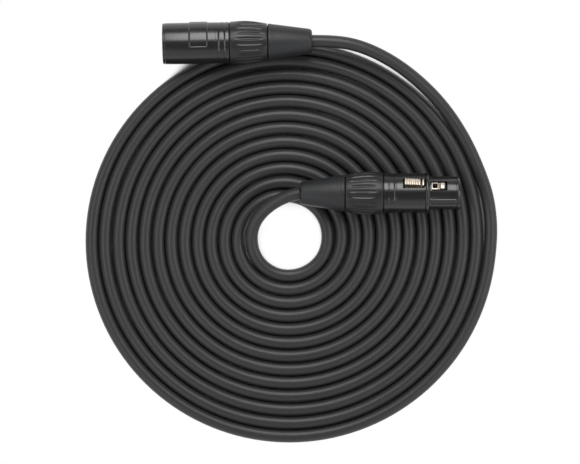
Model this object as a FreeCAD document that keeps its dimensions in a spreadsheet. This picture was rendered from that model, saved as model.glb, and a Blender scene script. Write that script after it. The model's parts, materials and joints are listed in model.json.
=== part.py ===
import FreeCAD, Part
import Sketcher
import math
import os

from FreeCAD import Placement, Rotation, Vector

# A coiled microphone cable: 13 flat turns, a three-pin male connector on the outer end and a three-hole
# female connector on the inner end, which lies on the coil.
# Row frame: millimetres, +Z up from the floor, +Y towards the top of the photograph and +X to its right.
# Each connector is drawn in a frame of its own: height 0 at its mating face, heights growing towards the
# cable, and +X through the latch of the female or the raised panel of the male.

os.makedirs("parts", exist_ok=True)
doc = FreeCAD.newDocument("cable_coil")

# Driving sizes in millimetres, degrees and counts. Distances named front run from the mating face.
SIZES = {
    # cable
    "cable_diameter": 5.9,
    "turn_gap": 0.433,
    "quarter_turns": 49,
    "first_turn_radius": 18.71,
    "first_turn_tuck": 3.5,
    "coil_across": -1.6,
    "coil_up": -2.4,
    "flat_depth": 0.5,
    "conductor_diameter": 1.5,
    "drain_diameter": 1.1,
    "conductor_spread": 1.15,
    # clearances
    "running_gap": 0.05,
    "seat_gap": 0.15,
    "rest_gap": 0.2,
    "end_gap": 0.1,
    # contacts of both connectors
    "contact_circle": 4.25,
    "side_contact_angle": 84,
    "pin_radius": 1.19,
    "contact_gap": 0.03,
    "sleeve_wall": 0.53,
    "insert_rim": 0.35,
    "cup_radius": 1.45,
    "cup_wall": 0.3,
    "cup_length": 4.6,
    "cup_floor": 1.6,
    "cup_root": 0.5,
    "solder_rise": 0.2,
    "solder_cap_inset": 0.15,
    "solder_cap_depth": 0.5,
    # nose of the female and mouth of the male, which take each other's measure
    "nose_wall": 1.38,
    "nose_rim_rise": 0.15,
    "mouth_gap": 0.12,
    "mouth_wall": 1.6,
    "key_width": 2.6,
    "key_height": 0.8,
    "key_angle": 64,
    "key_side_gap": 0.3,
    "key_end_gap": 0.37,
    "edge_chamfer": 0.4,
    "groove_depth": 0.35,
    "groove_width": 0.7,
    "groove_near_nut": 2.2,
    "groove_spacing": 2.75,
    # back nut, boot and clamp of both connectors
    "nut_length": 17.5,
    "nut_belly_rise": 0.3,
    "nut_rear_taper": 1.35,
    "nut_wall": 1.2,
    "nut_lip": 2.0,
    "flute_count": 24,
    "flute_radius": 1.15,
    "thread_length": 9.5,
    "thread_runout": 1.0,
    "boot_gap": 0.7,
    "boot_length": 20.4,
    "boot_inset": 0.15,
    "boot_wall": 2.8,
    "boot_flange_inset": 1.05,
    "boot_flange_rise": 1.1,
    "boot_flange_length": 2.0,
    "clamp_gap": 0.2,
    "clamp_length": 12.5,
    "clamp_front_overlap": 0.5,
    "clamp_wall": 1.7,
    "clamp_mouth_depth": 5.0,
    "clamp_taper_length": 5.0,
    "clamp_nose_wall": 2.2,
    "clamp_slot": 1.2,
    "jacket_inset": 6.0,
    # male connector
    "male_length": 70.0,
    "mouth_depth": 14.9,
    "stop_ring_height": 0.75,
    "stop_ring_length": 0.9,
    "male_spigot_wall": 0.75,
    "male_insert_length": 9.4,
    "male_yaw": 0.85,
    "male_roll": 35,
    "male_across": -59.75,
    "male_inset": 5.05,
    "pin_reach": 12.5,
    "pin_root_step": 0.36,
    "pin_collar_rise": 0.4,
    "pin_collar_front": 4.0,
    "panel_front": 12.4,
    "panel_length": 9.1,
    "panel_width": 14.5,
    "panel_rise": 0.3,
    "panel_corner": 1.4,
    "catch_width": 4.8,
    "catch_depth": 0.8,
    "catch_front": 4.2,
    "catch_length": 5.2,
    # female connector
    "female_length": 74.55,
    "female_across": 79.25,
    "female_up": 18.78,
    "female_roll": 30,
    "nose_length": 13.4,
    "nose_rim": 0.7,
    "collar_length": 2.3,
    "collar_rise": 0.55,
    "body_wall": 1.55,
    "female_spigot_wall": 1.0,
    "bore_step": 1.1,
    "face_depth": 0.8,
    "face_lip": 0.4,
    "seal_width": 0.7,
    "seal_inset": 0.1,
    "female_insert_length": 26.2,
    "hole_depth": 15.0,
    "lead_in_rim": 0.13,
    "window_step": 0.3,
    "window_length": 10.2,
    "window_side_gap": 0.35,
    "slot_front": 5.5,
    "slot_length": 8.2,
    "slot_side_gap": 0.3,
    # latch of the female connector
    "latch_width": 4.0,
    "latch_thickness": 0.9,
    "latch_front": 6.3,
    "latch_cover_gap": 0.8,
    "latch_travel": 1.9,
    "button_drop": 0.05,
    "button_front_gap": 0.5,
    "button_rear_gap": 0.4,
    "button_ribs": 5,
    "rib_height": 0.35,
    "hook_rise": 0.67,
    "hook_front_gap": 0.9,
    "hook_length": 3.4,
    "channel_side_gap": 0.45,
    "channel_front": 4.5,
    "pivot_behind": 4.0,
    "pivot_radius": 0.6,
    "pivot_chamfer": 0.15,
    "eye_wall": 0.5,
    "ear_width": 1.3,
    "ear_reach": 1.3,
    "leaf_thickness": 0.25,
    "leaf_width": 2.4,
    "leaf_front": 14.0,
    "leaf_bend_inset": 3.5,
    "leaf_end_inset": 1.0,
}

sheet = doc.addObject("Spreadsheet::Sheet", "sizes")
for row, (alias, value) in enumerate(SIZES.items(), 1):
    sheet.set("A%d" % row, alias.replace("_", " "))
    sheet.set("B%d" % row, str(value))
    sheet.setAlias("B%d" % row, alias)
doc.recompute()


class Size:
    """A number with the formula that ties it to the sheet."""

    def __init__(self, value, formula):
        self.value = value
        self.formula = formula

    def _with(self, sign, other, value):
        return Size(value, "(%s %s %s)" % (self.formula, sign, size(other).formula))

    def __add__(self, other):
        return self._with("+", other, self.value + size(other).value)

    def __sub__(self, other):
        return self._with("-", other, self.value - size(other).value)

    def __mul__(self, other):
        return self._with("*", other, self.value * size(other).value)

    def __truediv__(self, other):
        return self._with("/", other, self.value / size(other).value)

    def __neg__(self):
        return self * -1


def size(number):
    """A bare number as a size, and a size as it is."""
    return number if isinstance(number, Size) else Size(number, "(%r)" % number)


class Sheet:
    """The sheet's cells, read by their names."""

    def __getattr__(self, alias):
        return Size(float(sheet.get(alias)), "sizes." + alias)


S = Sheet()
CABLE_RADIUS = S.cable_diameter / 2
CABLE_LEVEL = CABLE_RADIUS - S.flat_depth
COIL_TOP = S.cable_diameter - S.flat_depth
TURN_PITCH = S.cable_diameter + S.turn_gap
# The radii grow outwards: the pins set the sleeves, these the insert, the nose, the mouth, the nut and
# the boot.
PIN_ROOT_RADIUS = S.pin_radius + S.pin_root_step
PIN_COLLAR_RADIUS = PIN_ROOT_RADIUS + S.pin_collar_rise
HOLE_RADIUS = S.pin_radius + S.contact_gap
SLEEVE_RADIUS = HOLE_RADIUS + S.sleeve_wall
NOSE_BORE = S.contact_circle + SLEEVE_RADIUS + S.running_gap + S.insert_rim
NOSE_RADIUS = NOSE_BORE + S.nose_wall
MOUTH_RADIUS = NOSE_RADIUS + S.nose_rim_rise + S.mouth_gap
STOP_RING_RADIUS = MOUTH_RADIUS - S.stop_ring_height
MALE_RADIUS = MOUTH_RADIUS + S.mouth_wall
NUT_BELLY_RADIUS = MALE_RADIUS + S.nut_belly_rise
# Both connectors lie level, with the nut's widest ring just over the tops of the turns.
CONNECTOR_LEVEL = COIL_TOP + NUT_BELLY_RADIUS + S.rest_gap
NUT_REAR_RADIUS = NUT_BELLY_RADIUS - S.nut_rear_taper
THREAD_BORE = NUT_BELLY_RADIUS - S.nut_wall
SPIGOT_RADIUS = THREAD_BORE - S.running_gap
MALE_BORE = SPIGOT_RADIUS - S.male_spigot_wall
FEMALE_BORE = SPIGOT_RADIUS - S.female_spigot_wall
BODY_RADIUS = FEMALE_BORE + S.body_wall
COLLAR_RADIUS = BODY_RADIUS + S.collar_rise
FLANGE_RADIUS = THREAD_BORE - S.boot_flange_inset
NECK_RADIUS = FLANGE_RADIUS - S.boot_flange_rise
CLAMP_RADIUS = FEMALE_BORE - S.clamp_gap
BACK_LENGTH = S.nut_length + S.boot_gap + S.boot_length
MALE_NUT_FRONT = S.male_length - BACK_LENGTH
MALE_INSERT_END = S.mouth_depth + S.stop_ring_length + S.male_insert_length
FEMALE_NUT_FRONT = S.female_length - BACK_LENGTH
FEMALE_INSERT_END = S.face_depth + S.female_insert_length
COLLAR_END = S.nose_length + S.collar_length
BODY_BORE_FRONT = S.nose_length + S.bore_step
WINDOW_FRONT = COLLAR_END + S.window_step
LATCH_LEVEL = NOSE_BORE - S.latch_cover_gap - S.latch_thickness
LATCH_TOP = LATCH_LEVEL + S.latch_thickness
CHANNEL_LEVEL = LATCH_LEVEL - S.latch_travel
CHANNEL_WIDTH = S.latch_width + S.channel_side_gap * 2
PIVOT_LEVEL = LATCH_LEVEL + S.latch_thickness / 2
PIVOT_FRONT = FEMALE_INSERT_END + S.pivot_behind

# How far a cutting tool reaches past what it cuts.
PAST = 1

# The pins' round nose: the radius and the height above the tip, both as shares of the pin's radius.
PIN_NOSE = ((0.55, 0), (0.88, 0.3), (1, 0.8))

# The back nut's outline: how far a ring stands inside the belly, as a share of the rear taper, and where it
# is along the nut, as a share of its length.
NUT_RINGS = ((0.26, 0), (0.04, 0.22), (0, 0.4), (0.11, 0.56), (0.44, 0.72), (0.89, 0.94), (1, 1))

# The nut's flutes are cut by a round tool that climbs out of the nut towards the rear: its bite in front, how
# far it clears the rear, and where these two are along the nut, as shares of its length.
FLUTE_BITE, FLUTE_CLEARANCE = 0.1, 0.35
FLUTE_FRONT, FLUTE_REAR = 0.14, 0.88

# The boot's rounded end: how far a ring stands outside the small radius, and how far before the end it is.
BOOT_END = ((0.35, 1.9), (0, 0.8), (-0.7, 0))

# Where the three conductors leave the jacket, round its middle, and the length of each of their two bends as
# a share of the way to the cups.
CONDUCTOR_ANGLES = (60, -60, 180)
CONDUCTOR_BEND = 0.27

# An arc of a free stretch takes this share of the shorter of its two runs.
ARC_SHARE = 0.45


def bind(thing, **sizes):
    """Ties properties to formulas. A double underscore stands for a dot."""
    for name, value in sizes.items():
        thing.setExpression(name.replace("__", "."), size(value).formula)


def put(thing, x, y, z):
    bind(thing, Placement__Base__x=x, Placement__Base__y=y, Placement__Base__z=z)


def cylinder(name, radius, length, x, y, z):
    """A cylinder along the connector's axis, from its foot at x, y, z."""
    thing = doc.addObject("Part::Cylinder", name)
    bind(thing, Radius=radius, Height=length)
    put(thing, x, y, z)
    return thing


def crosswise_cylinder(name, radius, length, x, z):
    """A cylinder along Y with its middle at x, 0, z."""
    thing = doc.addObject("Part::Cylinder", name)
    thing.Placement = Placement(Vector(), Rotation(Vector(1, 0, 0), -90))
    bind(thing, Radius=radius, Height=length)
    put(thing, x, length / -2, z)
    return thing


def box(name, low, high):
    """A box between two opposite corners."""
    thing = doc.addObject("Part::Box", name)
    sides = [size(top) - bottom for bottom, top in zip(low, high)]
    bind(thing, Length=sides[0], Width=sides[1], Height=sides[2])
    put(thing, *low)
    return thing


def slab_through(name, near, far, width, front, length):
    """A box on the connector's +X side, from one distance off the axis to another."""
    return box(name, (near, width / -2, front), (far, width / 2, size(front) + length))


def turned_to(thing, angle):
    """Turns a piece round the connector's axis after its own moves."""
    holder = doc.addObject("Part::Compound", thing.Name + "_turned")
    holder.Links = [thing]
    holder.Placement = Placement(Vector(), Rotation(Vector(0, 0, 1), 1))
    bind(holder, Placement__Rotation__Angle=angle)
    return holder


def fused(name, *things):
    result = doc.addObject("Part::MultiFuse", name)
    result.Shapes = list(things)
    return result


def cut(name, base, *tools):
    result = doc.addObject("Part::Cut", name)
    result.Base = base
    result.Tool = tools[0] if len(tools) == 1 else fused(name + "_tools", *tools)
    return result


def common(name, *things):
    result = doc.addObject("Part::MultiCommon", name)
    result.Shapes = list(things)
    return result


def formed(name, solid):
    """A piece whose form no primitive or sketch feature gives."""
    result = doc.addObject("Part::Feature", name)
    result.Shape = solid
    return result


def outline_sketch(body, name, corners):
    """A closed outline on the XZ plane. Its corners are (x, z), each tied to the sheet."""
    sketch = body.newObject("Sketcher::SketchObject", name + "_outline")
    plane = [feature for feature in body.Origin.OriginFeatures if feature.Role == "XZ_Plane"][0]
    sketch.AttachmentSupport = (plane, [""])
    sketch.MapMode = "FlatFace"
    corners = [(size(x), size(z)) for x, z in corners]
    count = len(corners)
    spots = [Vector(x.value, z.value, 0) for x, z in corners]
    for index in range(count):
        sketch.addGeometry(Part.LineSegment(spots[index], spots[(index + 1) % count]))
    for index in range(count):
        sketch.addConstraint(Sketcher.Constraint("Coincident", index, 2, (index + 1) % count, 1))
    for index, (x, z) in enumerate(corners):
        for kind, axis, length in (("DistanceX", -2, x), ("DistanceY", -1, z)):
            if length.value == 0:
                sketch.addConstraint(Sketcher.Constraint("PointOnObject", index, 1, axis))
            else:
                number = sketch.addConstraint(Sketcher.Constraint(kind, -1, 1, index, 1, length.value))
                sketch.setExpression("Constraints[%d]" % number, length.formula)
    return sketch


def turned(name, corners):
    """A piece turned on the connector's axis. Its outline lists (radius, height)."""
    body = doc.addObject("PartDesign::Body", name)
    turn = body.newObject("PartDesign::Revolution", name + "_turn")
    sketch = outline_sketch(body, name, corners)
    turn.Profile = sketch
    turn.ReferenceAxis = (sketch, ["V_Axis"])
    turn.Angle = 360
    body.Tip = turn
    return body


def padded(name, corners, width):
    """A flat piece of one width, cut from its side outline of (x, height)."""
    body = doc.addObject("PartDesign::Body", name)
    pad = body.newObject("PartDesign::Pad", name + "_pad")
    pad.Profile = outline_sketch(body, name, corners)
    pad.SideType = "Symmetric"
    bind(pad, Length=width)
    body.Tip = pad
    return body


def rounded_path(points):
    """Straight runs joined by tangent arcs, and the arcs' radii."""
    edges, radii, start = [], [], points[0]
    for before, corner, after in zip(points, points[1:], points[2:]):
        back, onward = before - corner, after - corner
        reach = ARC_SHARE * min(back.Length, onward.Length)
        back.normalize()
        onward.normalize()
        half_turn = (math.pi - back.getAngle(onward)) / 2
        radius = reach / math.tan(half_turn)
        towards_centre = (back + onward).normalize()
        middle = corner + towards_centre * (radius / math.cos(half_turn) - radius)
        edges.append(Part.LineSegment(start, corner + back * reach).toShape())
        edges.append(Part.Arc(corner + back * reach, middle, corner + onward * reach).toShape())
        radii.append(radius)
        start = corner + onward * reach
    edges.append(Part.LineSegment(start, points[-1]).toShape())
    return edges, radii


def pipe(edges, radius):
    """A round solid along edges that join smoothly."""
    path = Part.Wire(edges)
    start = edges[0].Vertexes[0].Point
    onward = edges[0].Vertexes[1].Point - start
    shell = Part.BRepOffsetAPI.MakePipeShell(path)
    shell.add(Part.Wire([Part.makeCircle(radius, start, onward)]))
    shell.build()
    shell.makeSolid()
    return shell.shape()


def say_volume(name, solid, edges, radius):
    length = sum(edge.Length for edge in edges)
    ratio = solid.Volume / (math.pi * radius ** 2 * length)
    print("%s: length %.1f mm, volume over section times length %.4f" % (name, length, ratio))


def above_floor(solid):
    """The solid without what the floor presses flat."""
    limits = solid.BoundBox
    corner = Vector(limits.XMin - PAST, limits.YMin - PAST, -CABLE_RADIUS.value)
    across, up = limits.XLength + 2 * PAST, limits.YLength + 2 * PAST
    return solid.cut(Part.makeBox(across, up, CABLE_RADIUS.value, corner))


# The pieces that are kept, each with its place in the row frame.
pieces = []


def keep(thing, frame=Placement(), x=0, y=0):
    """Marks a finished piece, which stands at x, y in the frame of its connector."""
    spot = Placement(Vector(size(x).value, size(y).value, 0), Rotation())
    pieces.append((thing, frame.multiply(spot)))


def compass(angle):
    return Vector(math.cos(math.radians(angle)), math.sin(math.radians(angle)), 0)


def coil_edges():
    """A flat spiral. Its quarter turns have their centres on the corners of a square a quarter pitch wide,
    the first is tucked in, and a straight end of one diameter leads out of each end."""
    step = TURN_PITCH.value / 4
    middle = Vector(S.coil_across.value, S.coil_up.value, CABLE_LEVEL.value)
    straight = S.cable_diameter.value
    edges = []
    for number in range(int(S.quarter_turns.value)):
        start = 270 + 90 * number
        centre = middle + compass(start + 135) * (step / math.sqrt(2))
        radius = S.first_turn_radius.value + step * number
        if number == 0:
            centre += compass(start + 90) * S.first_turn_tuck.value
            radius -= S.first_turn_tuck.value
        points = [centre + compass(start + part) * radius for part in (0, 45, 90)]
        edges.append(Part.Arc(*points).toShape())
        if number == 0:
            inner_end = points[0] - Vector(straight, 0, 0)
            edges.insert(0, Part.LineSegment(inner_end, points[0]).toShape())
    outer_end = points[2] + compass(start + 180) * straight
    edges.append(Part.LineSegment(points[2], outer_end).toShape())
    return edges, inner_end, outer_end


def least_gap(edges, diameter):
    """The least gap between the tube's turns, between points that stand close on its middle line. Points of
    the same stretch don't count."""
    spacing, reach, stretch = 2, 1.6 * diameter, 4 * diameter
    points, travelled = [], 0
    for edge in edges:
        count = max(2, int(edge.Length / spacing))
        for number in range(count):
            part = number / count
            place = edge.FirstParameter + (edge.LastParameter - edge.FirstParameter) * part
            points.append((travelled + edge.Length * part, edge.valueAt(place)))
        travelled += edge.Length
    gaps = []
    for index, (here, point) in enumerate(points):
        for there, other in points[index + 1:]:
            near = abs(other.x - point.x) < reach and abs(other.y - point.y) < reach
            if near and there - here > stretch:
                gaps.append(point.distanceToPoint(other) - diameter)
    return min(gaps)


def make_coil():
    edges, inner_end, outer_end = coil_edges()
    tube = pipe(edges, CABLE_RADIUS.value)
    say_volume("coil", tube, edges, CABLE_RADIUS.value)
    print("coil: least gap to itself %.2f mm" % least_gap(edges, S.cable_diameter.value))
    keep(formed("cable_coil", above_floor(tube)))
    return inner_end, outer_end


def make_lead(name, boot_end, boot_way, boot_run, points, coil_end, coil_way, coil_run):
    """A free stretch of cable, from the boot's end face through hand-chosen points to the coil's end face."""
    route = [boot_end, boot_end + boot_way * boot_run]
    route += [Vector(*point) for point in points]
    route += [coil_end + coil_way * coil_run, coil_end]
    edges, radii = rounded_path(route)
    tube = pipe(edges, CABLE_RADIUS.value)
    say_volume(name, tube, edges, CABLE_RADIUS.value)
    print("%s: radii in mm" % name, " ".join("%.1f" % radius for radius in radii))
    print("%s: points" % name, " ".join("(%.1f, %.1f, %.2f)" % tuple(point) for point in route))
    keep(formed(name, above_floor(tube)))


def connector_frame(face, rearward, roll):
    """The frame of a connector from the middle of its face, the way to its cable, and the angle that its +X
    is turned from straight up towards the top of the photograph."""
    across = rearward.cross(Vector(0, 0, 1)).normalize()
    upright = across.cross(rearward).normalize()
    picture_top = across if across.y > 0 else across * -1
    up_x = upright * math.cos(math.radians(roll)) + picture_top * math.sin(math.radians(roll))
    return Placement(face, Rotation(up_x, rearward.cross(up_x), rearward, "ZXY"))


def male_frame():
    """Its nut and boot lie on the outer turns, and its mouth reaches out past them."""
    rearward = compass(S.male_yaw.value)
    last_radius = S.first_turn_radius + TURN_PITCH / 4 * S.quarter_turns
    up = (S.coil_up + last_radius - S.male_inset).value
    face = Vector(S.male_across.value, up, CONNECTOR_LEVEL.value)
    return connector_frame(face, rearward, S.male_roll.value)


def female_frame():
    face = Vector(S.female_across.value, S.female_up.value, CONNECTOR_LEVEL.value)
    return connector_frame(face, Vector(-1, 0, 0), S.female_roll.value)


def contact_places(side):
    """Contacts 1 and 2 stand beside the latch, contact 1 on the given side, and contact 3 opposite."""
    angle = math.radians(S.side_contact_angle.value)
    x, y = S.contact_circle * math.cos(angle), S.contact_circle * math.sin(angle)
    return [(x, y * side), (x, y * -side), (-S.contact_circle, size(0))]


def grooves(name, radius, nut_front):
    """Two ring grooves in the shell, just in front of the nut."""
    rings = []
    for number in (0, 1):
        rear = nut_front - S.groove_near_nut - S.groove_spacing * number
        rings.append(turned("%s_groove_%d" % (name, number), [
            (radius - S.groove_depth, rear - S.groove_width),
            (radius + PAST, rear - S.groove_width),
            (radius + PAST, rear),
            (radius - S.groove_depth, rear)]))
    return rings


def make_male_shell(frame):
    """Zinc shell: the mouth with its key and catch pocket, the insert's stop ring and the nut's spigot."""
    shoulder = MALE_NUT_FRONT - S.end_gap
    spigot_end = shoulder + S.thread_length
    stop_end = S.mouth_depth + S.stop_ring_length
    blank = turned("male_shell_blank", [
        (MOUTH_RADIUS + S.edge_chamfer, 0),
        (MALE_RADIUS - S.edge_chamfer, 0),
        (MALE_RADIUS, S.edge_chamfer),
        (MALE_RADIUS, shoulder),
        (SPIGOT_RADIUS, shoulder),
        (SPIGOT_RADIUS, spigot_end),
        (MALE_BORE, spigot_end),
        (MALE_BORE, stop_end),
        (STOP_RING_RADIUS, stop_end),
        (STOP_RING_RADIUS, S.mouth_depth),
        (MOUTH_RADIUS, S.mouth_depth),
        (MOUTH_RADIUS, S.edge_chamfer)])
    panel_end = S.panel_front + S.panel_length
    face = MALE_RADIUS + S.panel_rise
    slab = slab_through("male_panel_slab", 0, face + PAST, S.panel_width, S.panel_front, S.panel_length)
    slab_rounded = doc.addObject("Part::Fillet", "male_panel_rounded")
    slab_rounded.Base = slab
    doc.recompute()
    corner = S.panel_corner.value
    slab_rounded.Edges = [(number, corner, corner) for number, edge in enumerate(slab.Shape.Edges, 1)
                          if edge.BoundBox.YLength < 1e-6 and edge.BoundBox.ZLength < 1e-6]
    root = MALE_RADIUS - S.mouth_wall / 2
    ring = turned("male_panel_ring", [
        (root, S.panel_front),
        (face, S.panel_front),
        (face, panel_end),
        (root, panel_end)])
    panel = common("male_panel", slab_rounded, ring)
    key = turned_to(slab_through("male_key", MOUTH_RADIUS - S.key_height, MOUTH_RADIUS + S.mouth_wall / 2,
                                 S.key_width, S.edge_chamfer, S.mouth_depth), S.key_angle)
    catch = slab_through("male_catch", STOP_RING_RADIUS, MOUTH_RADIUS + S.catch_depth,
                         S.catch_width, S.catch_front, S.catch_length)
    solid = fused("male_shell_solid", blank, panel, key)
    keep(cut("male_shell", solid, catch, *grooves("male", MALE_RADIUS, MALE_NUT_FRONT)), frame)


def make_male_insert(frame):
    """Plastic insert that holds the three pins. Its front boss stands in the shell's stop ring."""
    step = S.mouth_depth + S.stop_ring_length
    blank = turned("male_insert_blank", [
        (0, S.mouth_depth),
        (STOP_RING_RADIUS - S.running_gap, S.mouth_depth),
        (STOP_RING_RADIUS - S.running_gap, step),
        (MALE_BORE - S.running_gap, step),
        (MALE_BORE - S.running_gap, MALE_INSERT_END),
        (0, MALE_INSERT_END)])
    holes = []
    for number, (x, y) in enumerate(contact_places(-1), 1):
        holes.append(cylinder("male_hole_%d" % number, PIN_ROOT_RADIUS + S.running_gap,
                              MALE_INSERT_END - S.mouth_depth + 2 * PAST, x, y, S.mouth_depth - PAST))
        holes.append(cylinder("male_seat_%d" % number, PIN_COLLAR_RADIUS + S.running_gap,
                              MALE_INSERT_END, x, y, S.mouth_depth + S.pin_collar_front))
    keep(cut("male_insert", blank, *holes), frame)


def make_pins(frame):
    """Turned pins: a round nose, a root in the insert, a collar behind it and a solder cup."""
    collar = S.mouth_depth + S.pin_collar_front
    tip = S.mouth_depth - S.pin_reach
    cup_end = MALE_INSERT_END + S.cup_length
    for number, (x, y) in enumerate(contact_places(-1), 1):
        pin = turned("male_pin_%d" % number, [
            (0, tip),
            *[(S.pin_radius * out, tip + S.pin_radius * back) for out, back in PIN_NOSE],
            (S.pin_radius, S.mouth_depth),
            (PIN_ROOT_RADIUS, S.mouth_depth),
            (PIN_ROOT_RADIUS, collar),
            (PIN_COLLAR_RADIUS, collar),
            (PIN_COLLAR_RADIUS, MALE_INSERT_END - S.cup_root),
            (S.cup_radius, MALE_INSERT_END - S.cup_root),
            (S.cup_radius, cup_end),
            (S.cup_radius - S.cup_wall, cup_end),
            (S.cup_radius - S.cup_wall, MALE_INSERT_END + S.cup_floor),
            (0, MALE_INSERT_END + S.cup_floor)])
        keep(pin, frame, x, y)


def make_female_shell(frame):
    """Zinc shell: the nose with its rim and keyway, the collar, the body with the latch's two windows, and
    the nut's spigot."""
    shoulder = FEMALE_NUT_FRONT - S.end_gap
    spigot_end = shoulder + S.thread_length
    bevel = S.edge_chamfer / 2
    blank = turned("female_shell_blank", [
        (NOSE_BORE, 0),
        (NOSE_RADIUS, 0),
        (NOSE_RADIUS + S.nose_rim_rise, bevel),
        (NOSE_RADIUS + S.nose_rim_rise, S.nose_rim),
        (NOSE_RADIUS, S.nose_rim + bevel),
        (NOSE_RADIUS, S.nose_length),
        (COLLAR_RADIUS - bevel, S.nose_length),
        (COLLAR_RADIUS, S.nose_length + bevel),
        (COLLAR_RADIUS, COLLAR_END - bevel),
        (COLLAR_RADIUS - bevel, COLLAR_END),
        (BODY_RADIUS, COLLAR_END),
        (BODY_RADIUS, shoulder),
        (SPIGOT_RADIUS, shoulder),
        (SPIGOT_RADIUS, spigot_end),
        (FEMALE_BORE, spigot_end),
        (FEMALE_BORE, BODY_BORE_FRONT),
        (NOSE_BORE, BODY_BORE_FRONT)])
    window = slab_through("female_window", NOSE_BORE / 2, COLLAR_RADIUS + PAST,
                          S.latch_width + S.window_side_gap * 2, WINDOW_FRONT, S.window_length)
    slot = slab_through("female_slot", NOSE_BORE / 2, NOSE_RADIUS + PAST,
                        S.latch_width + S.slot_side_gap * 2, S.slot_front, S.slot_length)
    keyway_floor = MOUTH_RADIUS - S.key_height - S.key_end_gap
    keyway = slab_through("female_keyway", keyway_floor, NOSE_RADIUS + PAST,
                          S.key_width + S.key_side_gap * 2, -PAST, S.nose_length + PAST)
    keep(cut("female_shell", blank, window, slot, turned_to(keyway, -S.key_angle),
             *grooves("female", BODY_RADIUS, FEMALE_NUT_FRONT)), frame)


def make_female_insert(frame):
    """Plastic insert: three contact holes, the channel that the latch moves in, and two ears for its pin."""
    sleeve_front = S.face_depth + S.face_lip
    blank = turned("female_insert_blank", [
        (0, S.face_depth),
        (NOSE_BORE - S.running_gap, S.face_depth),
        (NOSE_BORE - S.running_gap, BODY_BORE_FRONT),
        (FEMALE_BORE - S.running_gap, BODY_BORE_FRONT),
        (FEMALE_BORE - S.running_gap, FEMALE_INSERT_END),
        (0, FEMALE_INSERT_END)])
    ears = []
    for number, side in enumerate((1, -1)):
        near, far = CHANNEL_WIDTH / 2 * side, (CHANNEL_WIDTH / 2 + S.ear_width) * side
        ears.append(box("female_ear_%d" % number,
                        (PIVOT_LEVEL - S.ear_reach, near if side > 0 else far, FEMALE_INSERT_END - PAST),
                        (PIVOT_LEVEL + S.ear_reach, far if side > 0 else near, PIVOT_FRONT + S.ear_reach)))
    tools = [
        box("female_channel", (CHANNEL_LEVEL, CHANNEL_WIDTH / -2, S.channel_front),
            (FEMALE_BORE + PAST, CHANNEL_WIDTH / 2, FEMALE_INSERT_END + PAST)),
        crosswise_cylinder("female_ear_hole", S.pivot_radius + S.running_gap / 2, FEMALE_BORE * 2,
                           PIVOT_LEVEL, PIVOT_FRONT)]
    for number, (x, y) in enumerate(contact_places(1), 1):
        tools.append(cylinder("female_lead_in_%d" % number, HOLE_RADIUS + S.lead_in_rim,
                              sleeve_front, x, y, 0))
        tools.append(cylinder("female_hole_%d" % number, SLEEVE_RADIUS + S.running_gap,
                              FEMALE_INSERT_END, x, y, sleeve_front))
    keep(cut("female_insert", fused("female_insert_solid", blank, *ears), *tools), frame)


def make_sleeves(frame):
    """Turned contact sleeves: a hole for the pin in front and a solder cup behind."""
    front = S.face_depth + S.face_lip
    cup_end = FEMALE_INSERT_END + S.cup_length
    for number, (x, y) in enumerate(contact_places(1), 1):
        sleeve = turned("female_contact_%d" % number, [
            (HOLE_RADIUS, front),
            (SLEEVE_RADIUS, front),
            (SLEEVE_RADIUS, FEMALE_INSERT_END),
            (S.cup_radius, FEMALE_INSERT_END),
            (S.cup_radius, cup_end),
            (S.cup_radius - S.cup_wall, cup_end),
            (S.cup_radius - S.cup_wall, FEMALE_INSERT_END + S.cup_floor),
            (0, FEMALE_INSERT_END + S.cup_floor),
            (0, front + S.hole_depth),
            (HOLE_RADIUS, front + S.hole_depth)])
        keep(sleeve, frame, x, y)


def latch_outline():
    """The latch bar's side: the hook in the nose's slot, the ribbed button in the body's window, and the bar
    back to its pin."""
    button_front = WINDOW_FRONT + S.button_front_gap
    button_rear = WINDOW_FRONT + S.window_length - S.button_rear_gap
    rib = (button_rear - button_front) / (S.button_ribs * 2 - 1)
    hook_front = S.slot_front + S.hook_front_gap
    hook_top = NOSE_RADIUS + S.hook_rise
    hook_ramp = S.hook_length / 3
    count = int(S.button_ribs.value)
    button_top = BODY_RADIUS - S.button_drop
    corners = [
        (LATCH_LEVEL, S.latch_front),
        (LATCH_TOP, S.latch_front),
        (NOSE_RADIUS, hook_front + hook_ramp / 2),
        (hook_top, hook_front + hook_ramp),
        (hook_top, hook_front + S.hook_length),
        (LATCH_TOP, hook_front + S.hook_length),
        (LATCH_TOP, button_front)]
    valley = button_top - S.rib_height
    for number in range(count):
        start = button_front + rib * (2 * number)
        if number > 0:
            corners.append((valley, start))
        corners.append((button_top, start))
        corners.append((button_top, start + rib))
        if number < count - 1:
            corners.append((valley, start + rib))
    return corners + [(LATCH_TOP, button_rear), (LATCH_TOP, PIVOT_FRONT), (LATCH_LEVEL, PIVOT_FRONT)]


def make_latch(frame):
    bar = padded("female_latch_bar", latch_outline(), S.latch_width)
    eye_bore = S.pivot_radius + S.running_gap
    eye = crosswise_cylinder("female_latch_eye", eye_bore + S.eye_wall, S.latch_width,
                             PIVOT_LEVEL, PIVOT_FRONT)
    hole = crosswise_cylinder("female_latch_hole", eye_bore, S.latch_width * 2, PIVOT_LEVEL, PIVOT_FRONT)
    keep(cut("female_latch", fused("female_latch_solid", bar, eye), hole), frame)


def make_latch_pin(frame):
    """The latch's hinge pin, from ear to ear, with chamfered ends."""
    shank = crosswise_cylinder("female_latch_shank", S.pivot_radius, CHANNEL_WIDTH + S.ear_width * 2,
                               PIVOT_LEVEL, PIVOT_FRONT)
    doc.recompute()
    pin = doc.addObject("Part::Chamfer", "female_latch_pin")
    pin.Base = shank
    width = S.pivot_chamfer.value
    pin.Edges = [(number, width, width) for number, edge in enumerate(shank.Shape.Edges, 1)
                 if isinstance(edge.Curve, Part.Circle)]
    keep(pin, frame)


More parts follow.
